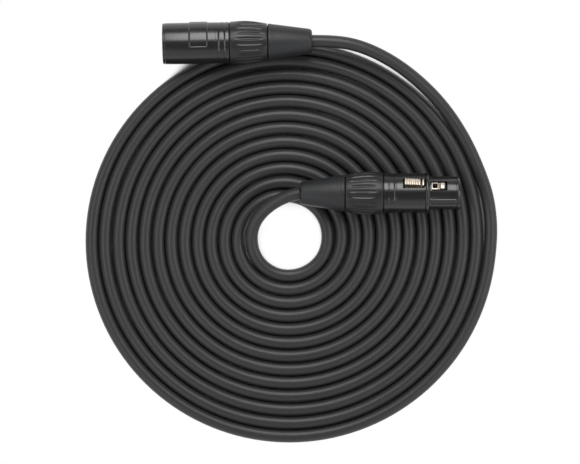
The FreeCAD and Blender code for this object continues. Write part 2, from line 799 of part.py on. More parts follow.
def make_latch_spring(frame):
    """A leaf that lies on the channel's floor and rises to the latch's underside."""
    floor, under = CHANNEL_LEVEL, LATCH_LEVEL - S.running_gap
    leaf, bend = S.leaf_thickness, FEMALE_INSERT_END - S.leaf_bend_inset
    keep(padded("female_latch_spring", [
        (floor, FEMALE_INSERT_END - S.leaf_end_inset),
        (floor + leaf, FEMALE_INSERT_END - S.leaf_end_inset),
        (floor + leaf, bend + leaf / 2),
        (under, S.leaf_front),
        (under - leaf, S.leaf_front),
        (floor, bend)], S.leaf_width), frame)


def make_seal(frame):
    """Rubber ring on the insert's face, inside the nose."""
    rim = NOSE_BORE - S.running_gap
    keep(turned("female_face_seal", [
        (rim - S.seal_width, S.seal_inset),
        (rim, S.seal_inset),
        (rim, S.face_depth),
        (rim - S.seal_width, S.face_depth)]), frame)


def make_back_nut(prefix, front, frame):
    """Fluted nut. Its thread bore steps down to the rear wall, which pulls the boot's flange forward."""
    rear = front + S.nut_length
    thread_end = front + S.thread_length + S.thread_runout
    neck_bore = NECK_RADIUS + S.seat_gap
    flange_bore = FLANGE_RADIUS + S.seat_gap
    blank = turned(prefix + "_nut_blank", [
        (THREAD_BORE, front),
        *[(NUT_BELLY_RADIUS - S.nut_rear_taper * inside, front + S.nut_length * along)
          for inside, along in NUT_RINGS],
        (neck_bore, rear),
        (neck_bore, rear - S.nut_lip),
        (flange_bore, rear - S.nut_lip),
        (flange_bore, thread_end),
        (THREAD_BORE, thread_end)])
    low = Vector((NUT_BELLY_RADIUS + S.flute_radius - FLUTE_BITE).value, 0,
                 (front + S.nut_length * FLUTE_FRONT).value)
    high = Vector((NUT_REAR_RADIUS + S.flute_radius + FLUTE_CLEARANCE).value, 0,
                  (front + S.nut_length * FLUTE_REAR).value)
    beyond = (high - low) / 5
    foot, length = low - beyond, (high - low + beyond * 2).Length
    flute = Part.makeCylinder(S.flute_radius.value, length, foot, high - low)
    count = int(S.flute_count.value)
    ring = [flute.rotated(Vector(), Vector(0, 0, 1), 360 * number / count) for number in range(count)]
    flutes = formed(prefix + "_flutes", Part.makeCompound(ring))
    keep(cut(prefix + "_back_nut", blank, flutes), frame)


def make_boot(prefix, front, frame):
    """Rubber boot: a flange and neck inside the nut, and a tapered sleeve with a rounded end round the
    cable."""
    bore = CABLE_RADIUS + S.seat_gap
    small = CABLE_RADIUS + S.boot_wall
    lip = front + S.nut_length - S.nut_lip - S.seat_gap
    start = front + S.nut_length + S.boot_gap
    end = start + S.boot_length
    keep(turned(prefix + "_boot", [
        (bore, lip - S.boot_flange_length),
        (FLANGE_RADIUS, lip - S.boot_flange_length),
        (FLANGE_RADIUS, lip),
        (NECK_RADIUS, lip),
        (NECK_RADIUS, start),
        (NUT_REAR_RADIUS - S.boot_inset, start),
        *[(small + out, end - before) for out, before in BOOT_END],
        (bore, end)]), frame)


def make_clamp(prefix, front, frame):
    """Plastic clamp: a wide mouth for the conductors, and four fingers that grip the jacket."""
    bore = CABLE_RADIUS + S.running_gap
    start = front - S.clamp_front_overlap
    end = start + S.clamp_length
    slot_front = start + S.clamp_mouth_depth
    blank = turned(prefix + "_clamp_blank", [
        (CLAMP_RADIUS - S.clamp_wall, start),
        (CLAMP_RADIUS, start),
        (CLAMP_RADIUS, end - S.clamp_taper_length),
        (bore + S.clamp_nose_wall, end),
        (bore, end),
        (bore, slot_front)])
    width, half = S.clamp_slot / 2, CLAMP_RADIUS + PAST
    slots = [
        box(prefix + "_clamp_slot_x", (-half, -width, slot_front), (half, width, end + PAST)),
        box(prefix + "_clamp_slot_y", (-width, -half, slot_front), (width, half, end + PAST))]
    keep(cut(prefix + "_cable_clamp", blank, *slots), frame)


def make_cable_end(prefix, front, length, insert_end, side, frame):
    """The cable inside a connector: its cut jacket, two conductors, the drain wire and the solder."""
    jacket_front = front - S.clamp_front_overlap + S.jacket_inset
    keep(turned(prefix + "_cable_end", [
        (0, jacket_front), (CABLE_RADIUS, jacket_front), (CABLE_RADIUS, length), (0, length)]), frame)
    cup_end = insert_end + S.cup_length
    solder_top = cup_end + S.solder_rise
    fill_radius = S.cup_radius - S.cup_wall - S.running_gap
    drops = []
    rise = (jacket_front - solder_top).value
    names = ("drain_wire", "hot_wire", "cold_wire")
    for number, ((x, y), name) in enumerate(zip(contact_places(side), names)):
        drops.append(fused("%s_solder_%d" % (prefix, number + 1), *[
            cylinder("%s_solder_%s_%d" % (prefix, word, number + 1), radius, top - bottom, x, y, bottom)
            for word, radius, bottom, top in (
                ("fill", fill_radius, insert_end + S.cup_floor, cup_end),
                ("cap", fill_radius - S.solder_cap_inset, cup_end - S.solder_cap_depth, solder_top))]))
        diameter = S.drain_diameter if number == 0 else S.conductor_diameter
        outer = Vector(x.value, y.value, solder_top.value)
        inner = compass(CONDUCTOR_ANGLES[number] * side) * S.conductor_spread.value
        inner.z = jacket_front.value
        bend = Vector(0, 0, rise * CONDUCTOR_BEND)
        edges, radii = rounded_path([outer, outer + bend, inner - bend, inner])
        keep(formed("%s_%s" % (prefix, name), pipe(edges, diameter.value / 2)), frame)
    solder = doc.addObject("Part::Compound", prefix + "_solder")
    solder.Links = drops
    keep(solder, frame)


def make_back_end(prefix, front, length, insert_end, side, frame):
    make_back_nut(prefix, front, frame)
    make_boot(prefix, front, frame)
    make_clamp(prefix, front, frame)
    make_cable_end(prefix, front, length, insert_end, side, frame)


def make_male():
    frame = male_frame()
    make_male_shell(frame)
    make_male_insert(frame)
    make_pins(frame)
    make_back_end("male", MALE_NUT_FRONT, S.male_length, MALE_INSERT_END, -1, frame)
    return frame


def make_female():
    frame = female_frame()
    make_female_shell(frame)
    make_female_insert(frame)
    make_sleeves(frame)
    make_latch(frame)
    make_latch_pin(frame)
    make_latch_spring(frame)
    make_seal(frame)
    make_back_end("female", FEMALE_NUT_FRONT, S.female_length, FEMALE_INSERT_END, 1, frame)
    return frame


# The free stretches' points, chosen by hand from the photograph, between the boots and the coil's ends.
FEMALE_LEAD_RUN = 6.0
FEMALE_LEAD_POINTS = [
    (-7.6, 15.8, 13.9),
    (-13.2, 11.2, 11.4),
    (-17.1, 5.2, 8.8),
    (-18.9, -1.8, 6.8),
    (-17.9, -8.7, 4.8),
    (-13.7, -14.3, 3.0),
]
FEMALE_COIL_RUN = 4.8
MALE_LEAD_RUN = 11.5
MALE_LEAD_POINTS = [
    (34.4, 87.3, 15.0),
    (47.9, 80.8, 12.6),
    (61.0, 71.2, 9.1),
    (72.8, 59.1, 6.0),
    (82.4, 44.5, 3.9),
    (89.5, 28.8, 2.8),
]
MALE_COIL_RUN = 11.0


def make_leads(inner_end, outer_end, male, female):
    face = female.multVec(Vector(0, 0, S.female_length.value))
    way = female.Rotation.multVec(Vector(0, 0, 1))
    make_lead("cable_lead_female", face, way, FEMALE_LEAD_RUN, FEMALE_LEAD_POINTS,
              inner_end, Vector(-1, 0, 0), FEMALE_COIL_RUN)
    face = male.multVec(Vector(0, 0, S.male_length.value))
    way = male.Rotation.multVec(Vector(0, 0, 1))
    make_lead("cable_lead_male", face, way, MALE_LEAD_RUN, MALE_LEAD_POINTS,
              outer_end, Vector(0, 1, 0), MALE_COIL_RUN)


def export():
    """Checks every object, puts each piece in its place and writes its file."""
    doc.recompute()
    for thing, frame in pieces:
        thing.Placement = frame
        thing.Label = thing.Name
    doc.recompute()
    for thing in doc.Objects:
        faults = [word for word in thing.State if word in ("Invalid", "Error")]
        if faults:
            raise RuntimeError("%s is %s" % (thing.Name, faults))
    for thing, frame in pieces:
        if thing.Shape.isNull() or not thing.Shape.isValid():
            raise RuntimeError("%s has no valid shape" % thing.Name)
    for thing, frame in pieces:
        thing.Shape.exportStep("parts/%s.step" % thing.Label)
    print("%d pieces" % len(pieces))


inner_end, outer_end = make_coil()
make_leads(inner_end, outer_end, make_male(), make_female())
export()
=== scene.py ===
import json
import math

import bmesh
import bpy
from mathutils import Matrix, Vector


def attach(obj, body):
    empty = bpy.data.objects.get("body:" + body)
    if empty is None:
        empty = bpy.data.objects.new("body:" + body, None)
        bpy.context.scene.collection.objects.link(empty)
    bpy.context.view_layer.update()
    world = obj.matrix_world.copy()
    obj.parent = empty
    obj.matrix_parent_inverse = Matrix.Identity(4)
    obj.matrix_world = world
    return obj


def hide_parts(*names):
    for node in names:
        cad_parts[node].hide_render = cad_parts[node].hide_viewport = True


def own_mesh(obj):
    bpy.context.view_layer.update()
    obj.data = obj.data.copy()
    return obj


# A microphone cable wound in a flat spiral of 13 turns, with its two three-pin connectors.
# Lengths are in millimetres, and MM turns them to the scene's metres.

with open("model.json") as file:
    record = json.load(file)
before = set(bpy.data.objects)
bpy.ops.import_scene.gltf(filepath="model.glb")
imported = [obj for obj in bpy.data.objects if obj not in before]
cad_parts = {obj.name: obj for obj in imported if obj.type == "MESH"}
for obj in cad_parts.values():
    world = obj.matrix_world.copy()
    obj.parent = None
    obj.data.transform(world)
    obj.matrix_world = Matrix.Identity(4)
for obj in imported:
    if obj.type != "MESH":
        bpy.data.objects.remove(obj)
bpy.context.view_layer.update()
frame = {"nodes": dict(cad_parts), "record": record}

MM = 0.001
UP = Vector((0, 0, 1))


# Camera: straight above the coil, as the photograph was taken.

CAMERA_HEIGHT = 1600
CAMERA_OVER = (-0.18, 0.6)
CAMERA_LENS = 210


def make_camera():
    lens = bpy.data.cameras.new("camera")
    lens.lens = CAMERA_LENS
    lens.clip_start, lens.clip_end = 0.01, 20
    camera = bpy.data.objects.new("camera", lens)
    camera.location = Vector((*CAMERA_OVER, CAMERA_HEIGHT)) * MM
    bpy.context.scene.collection.objects.link(camera)
    bpy.context.scene.camera = camera


make_camera()

# Cable: one unbroken length from the male connector's boot, round the coil, to the female connector's boot.

CABLE_DIAMETER = 5.9

# The height of the cable's middle where it lies on the floor. It is a little less than the radius, because the
# underside is flat there.
CABLE_LEVEL = 2.45

# How far each turn lies outside the last, the first turn's middle, and how far the middle wanders with each
# turn.
TURN_PITCH = 6.326
COIL_MIDDLE = Vector((-1.9, -2.65, 0))
COIL_DRIFT = Vector((0.049, 0.012, 0))

# The spiral's radius where it would start, straight up from its middle, and the angles that the loop runs
# between.
SPIRAL_START_RADIUS = 14.677
COIL_FROM, COIL_TO = 465, 13 * 360
COIL_STEP = 15

# The turns were laid by hand: a little oval, and not all alike. Each uneven wave has its height, how many of
# it go into a turn, and the angle that it starts at.
OVAL, OVAL_TURN = 0.38, 7
UNEVEN = ((0.06, 0.37, 20), (0.05, 0.61, 140))

# The free stretches and the first turn were placed over the photograph.
MALE_LEAD = [
    (10.24, 89.97, 15.55), (21.7, 90.05, 15.55), (34.4, 87.3, 15.0), (47.9, 80.8, 12.6), (61.0, 71.2, 9.1),
    (72.8, 59.1, 6.0), (82.4, 44.5, 3.9), (89.5, 28.8, 2.8), (93.9, 15.3, 2.45)]
FIRST_TURN = [
    (-1.6, 17.8, 2.45), (4.4, 16.65, 2.45), (9.9, 14.0, 2.45), (14.3, 9.7, 2.45), (17.0, 4.3, 2.45),
    (17.8, -1.6, 2.45), (17.0, -7.4, 2.45), (14.4, -12.6, 2.45), (10.3, -16.6, 2.45), (5.3, -19.2, 2.45),
    (-0.1, -20.2, 2.45)]
FEMALE_LEAD = [
    (-5.5, -19.7, 2.5), (-10.4, -17.5, 2.7), (-14.4, -14.1, 3.2), (-17.1, -9.6, 4.0), (-18.3, -4.6, 5.2),
    (-18.2, 0.5, 6.8), (-16.6, 5.4, 8.6), (-13.5, 9.6, 10.5), (-9.5, 13.1, 12.3), (-5.0, 15.8, 13.9),
    (-0.2, 17.8, 15.1), (4.7, 18.78, 15.55)]


def compass(angle):
    """The level direction at an angle in degrees, from +X towards +Y."""
    return Vector((math.cos(math.radians(angle)), math.sin(math.radians(angle)), 0))


def coil_radius(angle):
    """The spiral's radius in millimetres, where the angle grows by 360 with each turn."""
    even = SPIRAL_START_RADIUS + TURN_PITCH * (angle - 90) / 360
    oval = OVAL * math.cos(math.radians(2 * (angle - OVAL_TURN)))
    hand = sum(size * math.sin(math.radians(rate * angle + start)) for size, rate, start in UNEVEN)
    return even + oval + hand


def coil_points():
    """The coil's control points, from its outer end inwards. They stand out by what the spline cuts off."""
    outwards = 1 / math.cos(math.radians(COIL_STEP / 2))
    points = []
    for angle in range(COIL_TO, COIL_FROM - 1, -COIL_STEP):
        middle = COIL_MIDDLE + COIL_DRIFT * (angle - 90) / 360
        points.append(middle + compass(angle) * coil_radius(angle) * outwards + UP * CABLE_LEVEL)
    return points


def smooth_line(points, steps):
    """Points close together on the one smooth curve that follows the control points."""
    curve = bpy.data.curves.new("cable_route", "CURVE")
    curve.dimensions = "3D"
    spline = curve.splines.new("NURBS")
    spline.points.add(len(points) - 1)
    for spot, point in zip(spline.points, points):
        spot.co = (*(point * MM), 1)
    spline.order_u = 3
    spline.use_endpoint_u = True
    spline.resolution_u = steps
    holder = bpy.data.objects.new("cable_route", curve)
    mesh = bpy.data.meshes.new_from_object(holder)
    line = [vertex.co.copy() for vertex in mesh.vertices]
    bpy.data.meshes.remove(mesh)
    bpy.data.curves.remove(curve)
    return line


def add_piece(name, mesh, material=None):
    piece = bpy.data.objects.new(name, mesh)
    bpy.context.scene.collection.objects.link(piece)
    if material:
        mesh.materials.append(material)
    return piece


CABLE_SIDES = 28
LINE_STEPS = 6


def cable_mesh(line):
    """A round tube along the line, flat where it would sink into the floor. Its map holds metres along the
    cable and metres round it."""
    radius = CABLE_DIAMETER / 2 * MM
    mesh = bpy.data.meshes.new("cable")
    shell = bmesh.new()
    map_layer = shell.loops.layers.uv.new("jacket")
    rings, travelled = [], [0.0]
    for index, point in enumerate(line):
        before, after = line[max(index - 1, 0)], line[min(index + 1, len(line) - 1)]
        way = (after - before).normalized()
        side = way.cross(UP).normalized()
        over = side.cross(way)
        ring = []
        for number in range(CABLE_SIDES):
            angle = 2 * math.pi * number / CABLE_SIDES
            spot = point + (side * math.sin(angle) - over * math.cos(angle)) * radius
            spot.z = max(spot.z, 0)
            ring.append(shell.verts.new(spot))
        rings.append(ring)
        if index:
            travelled.append(travelled[-1] + (point - line[index - 1]).length)
    round_step = math.pi * CABLE_DIAMETER * MM / CABLE_SIDES
    for index in range(len(rings) - 1):
        for number in range(CABLE_SIDES):
            onward = (number + 1) % CABLE_SIDES
            face = shell.faces.new((rings[index][number], rings[index][onward],
                                    rings[index + 1][onward], rings[index + 1][number]))
            face.smooth = True
            for loop, along, around in zip(face.loops, (0, 0, 1, 1), (0, 1, 1, 0)):
                loop[map_layer].uv = (travelled[index + along], (number + around) * round_step)
    for end in (rings[0][::-1], rings[-1]):
        for edge in shell.faces.new(end).edges:
            edge.smooth = False
    bmesh.ops.recalc_face_normals(shell, faces=shell.faces)
    shell.to_mesh(mesh)
    shell.free()
    return mesh


route = [Vector(point) for point in MALE_LEAD] + coil_points()
route += [Vector(point) for point in FIRST_TURN + FEMALE_LEAD]
cable_line = smooth_line(route, LINE_STEPS)
cable = add_piece("cable", cable_mesh(cable_line))


# Materials. Colours are written as sRGB hex values, and the sizes of patterns in millimetres.

PLASTIC_IOR = 1.5
PVC_IOR = 1.53
GLOSS_SPREAD = 0.03


def colour(hex_code):
    """An sRGB hex value as the linear colour that a shader takes."""
    parts = [int(hex_code[start:start + 2], 16) / 255 for start in (1, 3, 5)]
    return [part / 12.92 if part <= 0.04045 else ((part + 0.055) / 1.055) ** 2.4 for part in parts] + [1]


def add_node(tree, kind, settings={}, **links):
    """Adds a shader node. Settings name its properties or sockets, and links say what feeds a socket."""
    node = tree.nodes.new("ShaderNode" + kind)
    for name, value in settings.items():
        if name in node.inputs:
            node.inputs[name].default_value = value
        else:
            setattr(node, name, value)
    for name, source in links.items():
        tree.links.new(source, node.inputs[name.replace("_", " ")])
    return node


def new_material(name, shine):
    """A material with one Principled shader, whose settings are given, and the tree to add its pattern to."""
    material = bpy.data.materials.new(name)
    material.use_nodes = True
    tree = material.node_tree
    tree.nodes.clear()
    surface = add_node(tree, "BsdfPrincipled", shine)
    add_node(tree, "OutputMaterial", Surface=surface.outputs["BSDF"])
    return material, tree, surface


def grain(tree, size, stretch=(1, 1, 1), map_name=None):
    """Noise whose spots are the given size in millimetres, along each of its directions."""
    if map_name:
        place = add_node(tree, "UVMap", {"uv_map": map_name}).outputs["UV"]
    else:
        place = add_node(tree, "TexCoord").outputs["Object"]
    spread = add_node(tree, "Mapping", {"Scale": [1 / (size * part * MM) for part in stretch]}, Vector=place)
    noise = add_node(tree, "TexNoise", {"Scale": 1.0, "Detail": 2.0}, Vector=spread.outputs["Vector"])
    return noise.outputs["Fac"]


def patterned(tree, surface, pattern, dark, light, strength, relief):
    """Paints the surface from dark to light with the pattern, which also stands out by its relief in mm."""
    share = add_node(tree, "MapRange", {"From Min": 0.3, "From Max": 0.7}, Value=pattern)
    tones = add_node(tree, "MixRGB", {"Color1": colour(dark), "Color2": colour(light)},
                     Fac=share.outputs["Result"])
    tree.links.new(tones.outputs["Color"], surface.inputs["Base Color"])
    bump = add_node(tree, "Bump", {"Strength": strength, "Distance": relief * MM}, Height=pattern)
    tree.links.new(bump.outputs["Normal"], surface.inputs["Normal"])


def uneven_gloss(tree, surface, size, glossiest, dullest):
    """Cloudy differences in roughness, as handling leaves them."""
    dull = add_node(tree, "MapRange", {"To Min": glossiest, "To Max": dullest}, Value=grain(tree, size))
    tree.links.new(dull.outputs["Result"], surface.inputs["Roughness"])


def pvc_jacket():
    """Extruded soft PVC: a satin dark grey with faint lines along the cable, where the die dragged. The real
    lines are some tenths of a millimetre apart, and are drawn 1.3 mm apart so that they show."""
    material, tree, surface = new_material("extruded_pvc_jacket", {"IOR": PVC_IOR})
    lines = grain(tree, size=1.3, stretch=(40, 1, 1), map_name="jacket")
    patterned(tree, surface, lines, "#2b2b2c", "#313132", strength=0.25, relief=0.05)
    uneven_gloss(tree, surface, size=14, glossiest=0.38, dullest=0.46)
    return material


def moulded(name, dark, light, gloss, grain_size, relief):
    """A plastic or rubber part from a mould or a die: two close tones and the fine grain that the tool left.
    The real grain is about a tenth of a millimetre, and is drawn several times coarser so that it shows."""
    material, tree, surface = new_material(name, {"IOR": PLASTIC_IOR})
    patterned(tree, surface, grain(tree, grain_size), dark, light, strength=0.4, relief=relief)
    uneven_gloss(tree, surface, size=5, glossiest=gloss - GLOSS_SPREAD, dullest=gloss + GLOSS_SPREAD)
    return material


def lacquered_zinc():
    """Die-cast zinc under black lacquer: deep black, with clear reflections that break at every edge, and the
    faint orange peel of the spray."""
    shine = {"IOR": PLASTIC_IOR, "Specular IOR Level": 0.8}
    material, tree, surface = new_material("black_lacquered_zinc", shine)
    patterned(tree, surface, grain(tree, size=0.6), "#100f0e", "#171514", strength=0.15, relief=0.02)
    uneven_gloss(tree, surface, size=6, glossiest=0.22, dullest=0.3)
    return material


def metal(name, dark, light, gloss, grain_size=0.4, stretch=(1, 1, 1)):
    """A bare or plated metal: its own colour in every reflection, with the small unevenness of its finish,
    drawn some tenths of a millimetre wide so that it shows."""
    material, tree, surface = new_material(name, {"Metallic": 1.0})
    patterned(tree, surface, grain(tree, grain_size, stretch), dark, light, strength=0.2, relief=0.01)
    uneven_gloss(tree, surface, size=2, glossiest=gloss - GLOSS_SPREAD, dullest=gloss + GLOSS_SPREAD)
    return material


# Each slot's finish: what the real one is, how it was made and what that gives the eye.
finishes = {
    "cable_jacket": pvc_jacket(),
    "black_metal": lacquered_zinc(),
    # Nylon from a polished mould: an even black, with soft broad lights along the flutes.
    "nut_plastic": moulded("moulded_black_nylon", "#1f1f20", "#252526", 0.32, 0.5, 0.02),
    # Soft rubber from a blasted mould: a cooler black with one wide, dull sheen.
    "boot_rubber": moulded("moulded_soft_rubber", "#202123", "#262729", 0.46, 0.6, 0.03),
    # Filled plastic from a mould: flat and dark, so that the pins stand out in it.
    "insert_plastic": moulded("moulded_filled_plastic", "#1c1c1c", "#242424", 0.5, 0.5, 0.02),
    # Turned brass plated with silver: pale, faintly warm mirror lights.
    "contact_metal": metal("silver_plated_brass", "#c9c4ba", "#dcd8d0", 0.2),
    # Cast zinc plated with satin nickel: warm white lights that fill the ribs and the hook.
    "latch_metal": metal("nickel_plated_zinc", "#cdc3b5", "#dbd3c7", 0.4),
    # Rolled steel strip: cool, narrow lights.
    "spring_steel": metal("rolled_spring_steel", "#a9a9a9", "#bcbcbc", 0.25),
    # Moulded rubber of the seal: no clear light at all.
    "seal_rubber": moulded("moulded_seal_rubber", "#1f1f1f", "#262626", 0.6, 0.5, 0.02),
    # Natural nylon from a mould: milky white with a soft shine.
    "clamp_plastic": moulded("moulded_white_nylon", "#cfcfca", "#d9d9d4", 0.45, 0.5, 0.02),
    # PVC extruded on the wires: plain red and plain white with a waxy shine.
    "hot_insulation": moulded("extruded_red_pvc", "#b3201b", "#c42a22", 0.4, 0.8, 0.01),
    "cold_insulation": moulded("extruded_white_pvc", "#d8d8d2", "#e2e2dc", 0.4, 0.8, 0.01),
    # Drawn copper strands: orange lights in streaks.
    "copper": metal("drawn_copper_strands", "#b4694a", "#c87c58", 0.3, 0.3, (1, 1, 6)),
    # Tin solder as it set: pale grey with soft, uneven lights.
    "solder": metal("set_tin_solder", "#b5b5b3", "#c4c4c2", 0.3),
}

for row in frame["record"]["subparts"]:
    node = frame["nodes"][row["node"]]
    for slot in node.material_slots:
        slot.material = finishes[row["material_slot"]]

# Connectors. Each is drawn in a frame of its own: height 0 at its mating face, heights growing towards the
# cable, and its first direction through the female's latch or the male's raised panel.

def connector_place(face, rearward, roll):
    """The frame of a connector with its face there. Its first direction leans by the roll from straight up."""
    rearward = Vector(rearward).normalized()
    lean = math.radians(roll)
    across = UP * math.cos(lean) + rearward.cross(UP) * math.sin(lean)
    turn = Matrix((across, rearward.cross(across), rearward)).transposed()
    return Matrix.Translation(Vector(face) * MM) @ turn.to_4x4() @ Matrix.Scale(MM, 4)


MALE = connector_place((-59.75, 88.72, 15.55), (0.99984, 0.018, 0), -35)
FEMALE = connector_place((79.25, 18.78, 15.55), (-1, 0, 0), 30)

# The height at which each nut begins, and its length.
MALE_NUT_FRONT, FEMALE_NUT_FRONT = 31.4, 35.95
NUT_LENGTH = 17.5

# How many straight steps a rounded corner has, and the angle from which an edge looks sharp.
EASE_STEPS = 3
SHARP_ANGLE = 34

# How many sides a turned piece has round its axis.
MALE_SHELL_SIDES, FEMALE_SHELL_SIDES, BOOT_SIDES, EYE_SIDES, HOLE_SIDES = 480, 180, 96, 32, 24


def smooth(low, high, value):
    """0 below low, 1 above high and a soft step between."""
    share = min(max((value - low) / (high - low), 0), 1)
    return share * share * (3 - 2 * share)


def eased(corners):
    """An outline of corners, each a radius, a height and how far its rounding reaches along its two edges."""
    spots = []
    for index, (radius, height, reach) in enumerate(corners):
        here = Vector((radius, height))
        if not reach:
            spots.append(here)
            continue
        before = Vector(corners[index - 1][:2])
        after = Vector(corners[(index + 1) % len(corners)][:2])
        near = here + (before - here).normalized() * reach
        far = here + (after - here).normalized() * reach
        for step in range(EASE_STEPS + 1):
            share = step / EASE_STEPS
            spots.append(near * (1 - share) ** 2 + here * 2 * share * (1 - share) + far * share ** 2)
    return spots


def shaded(mesh):
    """The mesh with smooth surfaces and sharp edges."""
    mesh.shade_smooth()
    mesh.set_sharp_from_angle(angle=math.radians(SHARP_ANGLE))
    return mesh


def finished_mesh(name, shell):
    """The drawn faces as a mesh."""
    bmesh.ops.recalc_face_normals(shell, faces=shell.faces)
    mesh = bpy.data.meshes.new(name)
    shell.to_mesh(mesh)
    shell.free()
    return shaded(mesh)


def turned(name, place, outline, sides, shape=None):
    """A closed ring: the outline goes round the axis. Shape may move a spot's radius at each angle."""
    shell = bmesh.new()
    lines = []
    for number in range(sides):
        angle = 2 * math.pi * number / sides
        line = []
        for spot in outline:
            radius = shape(spot.x, spot.y, angle) if shape else spot.x
            turned_spot = Vector((radius * math.cos(angle), radius * math.sin(angle), spot.y))
            line.append(shell.verts.new(place @ turned_spot))
        lines.append(line)
    for number, line in enumerate(lines):
        onward = lines[(number + 1) % sides]
        for index, vertex in enumerate(line):
            below = index - 1
            shell.faces.new((line[below], vertex, onward[index], onward[below]))
    return finished_mesh(name, shell)


def slab(name, place, corners, low, high, ease=0.0, turn=0.0):
    """A flat piece: corners of a radius and a height, from low to high across them, turned round the axis."""
    place = place @ Matrix.Rotation(math.radians(turn), 4, "Z")
    shell = bmesh.new()
    ends = [[shell.verts.new((radius, side, height)) for radius, height in corners] for side in (low, high)]
    shell.faces.new(ends[0])
    shell.faces.new(ends[1][::-1])
    for index in range(len(corners)):
        shell.faces.new((ends[0][index - 1], ends[1][index - 1], ends[1][index], ends[0][index]))
    if ease:
        bmesh.ops.bevel(shell, geom=list(shell.edges), offset=ease, segments=2, profile=0.5, affect="EDGES",
                        clamp_overlap=True)
    shell.transform(place)
    return finished_mesh(name, shell)


def carved(mesh, tools, operation="DIFFERENCE"):
    """The mesh with the tools taken away from it, or joined to it."""
    name = mesh.name
    piece = add_piece(name, mesh)
    others = [add_piece("tool", tool) for tool in tools]
    for other in others:
        modifier = piece.modifiers.new("tool", "BOOLEAN")
        modifier.operation = operation
        modifier.solver = "EXACT"
        modifier.object = other
    result = bpy.data.meshes.new_from_object(piece.evaluated_get(bpy.context.evaluated_depsgraph_get()))
    for other in others + [piece]:
        data = other.data
        bpy.data.objects.remove(other)
        bpy.data.meshes.remove(data)
    result.name = name
    return shaded(result)


def own_piece(mesh, slot, body, node):
    """A piece named as its mesh, which stands for a CAD node and rides on its body."""
    piece = add_piece(mesh.name, mesh, finishes[slot])
    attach(piece, body)
    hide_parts(node)
    return piece


# The male's shell: a tube with a lip at its mouth, a raised panel with a rim, and two ring grooves.
MALE_RADIUS, MOUTH_RADIUS, MOUTH_DEPTH = 9.65, 8.05, 14.9
GROOVES, GROOVE_RADIUS = (25.95, 28.75), 9.42
PANEL_MIDDLE, PANEL_HALF_LENGTH, PANEL_HALF_WIDTH, PANEL_CORNER = 16.85, 4.2, 8.3, 1.0

# The panel's rise at its edge, how far its field sinks inside the rim, the rim's width, and where its outer and
# inner slopes run.
PANEL_RISE, PANEL_SINK, PANEL_RIM = 0.36, 0.17, 0.08
PANEL_EDGE, PANEL_INNER_SLOPE = (-0.1, 0.3), 0.3

# The rings of the mesh go on past the panel by a margin, and stand this close.
PANEL_MARGIN, PANEL_STEP = 0.5, 0.15


def panel_shape(radius, height, angle):
    """The shell's radius with the raised panel, whose outline is a rectangle with round corners."""
    if radius < MALE_RADIUS - 0.01 or abs(height - PANEL_MIDDLE) > PANEL_HALF_LENGTH + 1:
        return radius
    around = abs(math.remainder(angle, 2 * math.pi)) * radius
    over_length = abs(height - PANEL_MIDDLE) - PANEL_HALF_LENGTH + PANEL_CORNER
    over_width = around - PANEL_HALF_WIDTH + PANEL_CORNER
    beyond = math.hypot(max(over_length, 0), max(over_width, 0))
    within = min(max(over_length, over_width), 0)
    outside = beyond + within - PANEL_CORNER
    rise = PANEL_RISE * (1 - smooth(*PANEL_EDGE, outside))
    sink = PANEL_SINK * (1 - smooth(-PANEL_RIM - PANEL_INNER_SLOPE, -PANEL_RIM, outside))
    return radius + rise - sink


def make_male_shell():
    panel_steps = int(2 * (PANEL_HALF_LENGTH + PANEL_MARGIN) / PANEL_STEP)
    panel_front = PANEL_MIDDLE - PANEL_HALF_LENGTH - PANEL_MARGIN
    front = [(8.35, 0, 0.1), (9.5, 0, 0.3), (9.5, 1.15, 0.08), (MALE_RADIUS, 1.3, 0.08)]
    panel = [(MALE_RADIUS, panel_front + step * PANEL_STEP, 0) for step in range(panel_steps + 1)]
    rear = [(MALE_RADIUS, 24.2, 0.1), (9.6, 24.7, 0.2), (MALE_RADIUS, 25.2, 0.1)]
    for start in GROOVES:
        rear += [(MALE_RADIUS, start, 0.05), (GROOVE_RADIUS, start + 0.08, 0.03),
                 (MALE_RADIUS, start + 0.73, 0.05)]
    rear += [
        (MALE_RADIUS, 31.0, 0.06), (9.15, 31.35, 0), (8.7, 31.35, 0), (8.7, 40.8, 0), (7.95, 40.8, 0),
        (7.95, 15.8, 0), (7.3, 15.8, 0), (7.3, MOUTH_DEPTH, 0), (MOUTH_RADIUS, MOUTH_DEPTH, 0),
        (MOUTH_RADIUS, 0.3, 0.1)]
    tube = turned("male_shell_cast", MALE, eased(front + panel + rear), MALE_SHELL_SIDES, panel_shape)
    key = slab("key", MALE, [(7.25, 0.4), (8.85, 0.4), (8.85, 15.3), (7.25, 15.3)], -1.3, 1.3, ease=0.1,
               turn=64)
    catch = slab("catch", MALE, [(7.0, 4.2), (8.85, 4.2), (8.85, 9.4), (7.0, 9.4)], -2.4, 2.4)
    return carved(carved(tube, [catch]), [key], "UNION")


# The female's shell: the nose with its lip, slot, keyway and mould ridge, the collar, and the body with the
# latch's window and its rings.
NOSE_RADIUS, NOSE_FRONT, NOSE_REAR = 7.78, 2.05, 14.35
KEYWAY_TURN = -64
RIDGE_TURN, RIDGE_HEIGHT, RIDGE_HALF_WIDTH = -54, 0.21, 0.27


def ridge_shape(radius, height, angle):
    """The shell's radius with the fine ridge that the mould's seam left along the nose."""
    if radius < NOSE_RADIUS - 0.08 or not NOSE_FRONT - 0.05 < height < NOSE_REAR + 0.05:
        return radius
    aside = abs(math.remainder(angle - math.radians(RIDGE_TURN), 2 * math.pi)) * radius
    return max(radius, NOSE_RADIUS + RIDGE_HEIGHT * max(1 - aside / RIDGE_HALF_WIDTH, 0))


